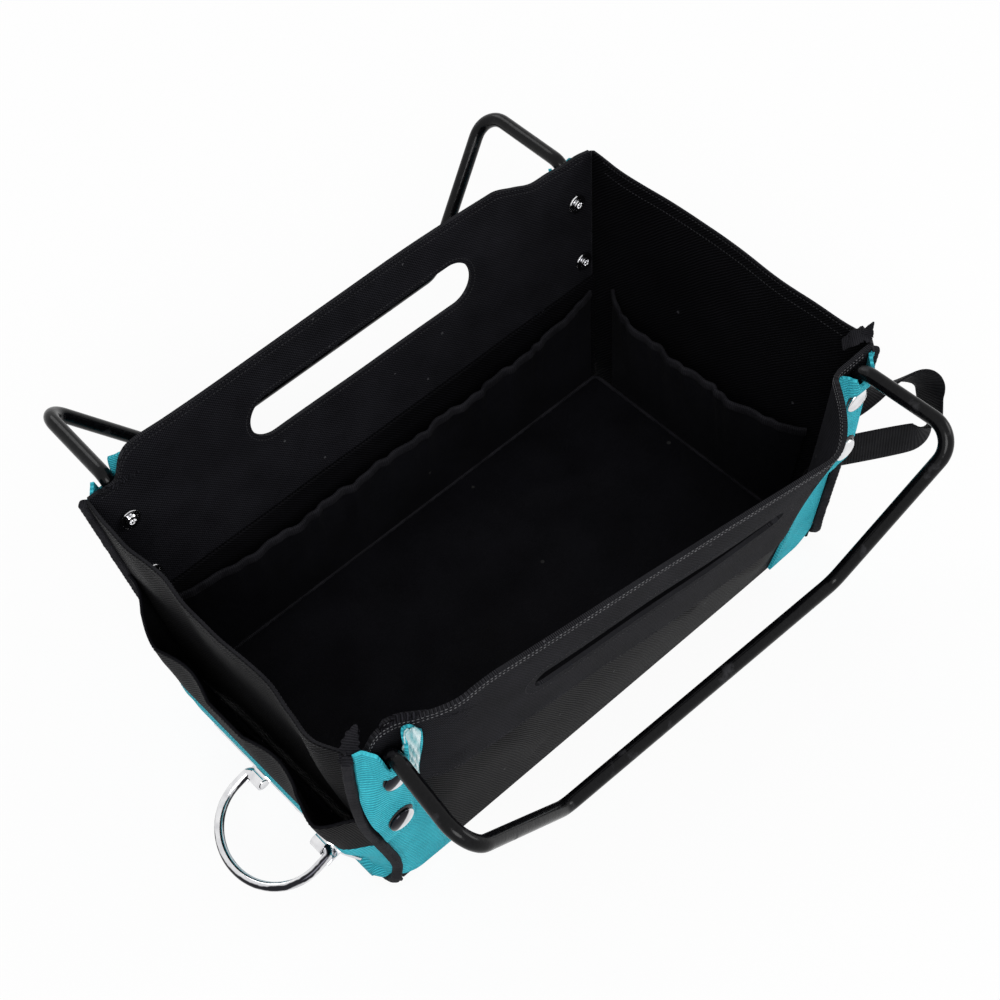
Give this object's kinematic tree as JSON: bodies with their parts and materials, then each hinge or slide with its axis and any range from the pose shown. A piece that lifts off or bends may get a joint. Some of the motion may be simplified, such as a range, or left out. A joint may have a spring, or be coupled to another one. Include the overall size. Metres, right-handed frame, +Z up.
{
  "type": "ladder tool bag",
  "caption": "Open-topped fabric tool bag that hangs on a ladder by two bent steel rods, with hand slots, a wire hammer loop and pockets.",
  "frame": {"origin": "middle of the bag's underside", "axes": "+X along the bag towards the end with the webbing loop, -Y towards the front long wall, +Z up"},
  "size_m": [0.444, 0.3326, 0.1801],
  "materials": {
    "black_cloth": "ribbed black polyester, matte",
    "handle_cloth": "coarse charcoal ballistic weave, matte",
    "teal_cloth": "fine teal polyester weave, slight sheen",
    "black_binding": "black woven binding tape, stitched",
    "webbing": "black ribbed webbing",
    "board": "black stiffening board",
    "black_rod": "gloss black coated steel rod",
    "chrome": "bright plated steel"
  },
  "bodies": {
    "bag": {"back_handle_panel": "handle_cloth", "back_inner_pocket": "black_cloth", "back_ladder_hook": "black_rod", "back_left_corner_panel": "teal_cloth", "back_right_corner_panel": "teal_cloth", "back_wall": "black_cloth", "base_board": "board", "base_cover": "black_cloth", "end_pocket_band": "black_binding", "end_pocket_panel": "teal_cloth", "floor_lining": "black_cloth", "floor_seam_binding": "black_binding", "front_handle_panel": "handle_cloth", "front_ladder_hook": "black_rod", "front_left_corner_panel": "teal_cloth", "front_right_corner_panel": "teal_cloth", "front_wall": "black_cloth", "hammer_loop_plate": "chrome", "hook_rivet_back_left_lower": "chrome", "hook_rivet_back_left_upper": "chrome", "hook_rivet_back_right_lower": "chrome", "hook_rivet_back_right_upper": "chrome", "hook_rivet_front_left_lower": "chrome", "hook_rivet_front_left_upper": "chrome", "hook_rivet_front_right_lower": "chrome", "hook_rivet_front_right_upper": "chrome", "left_end_binding": "black_binding", "left_end_wall": "black_cloth", "plate_rivet_front_low": "chrome", "plate_rivet_middle_high": "chrome", "plate_rivet_rear_high": "chrome", "plate_rivet_rear_low": "chrome", "right_end_binding": "black_binding", "right_end_wall": "black_cloth", "right_inner_pocket": "black_cloth", "rivet_washer_back_left_lower": "chrome", "rivet_washer_back_left_upper": "chrome", "rivet_washer_back_right_lower": "chrome", "rivet_washer_back_right_upper": "chrome", "rivet_washer_front_left_lower": "chrome", "rivet_washer_front_left_upper": "chrome", "rivet_washer_front_right_lower": "chrome", "rivet_washer_front_right_upper": "chrome", "webbing_loop": "webbing"},
    "hammer_loop": {"hammer_loop": "chrome"}
  },
  "joints": [
    {"name": "hammer_loop_swing", "type": "hinge", "parent": "bag", "child": "hammer_loop", "pos_m": [-0.1787, -0.038, 0.04407], "axis": [0, 1, 0], "range_deg": [0, 95]}
  ]
}
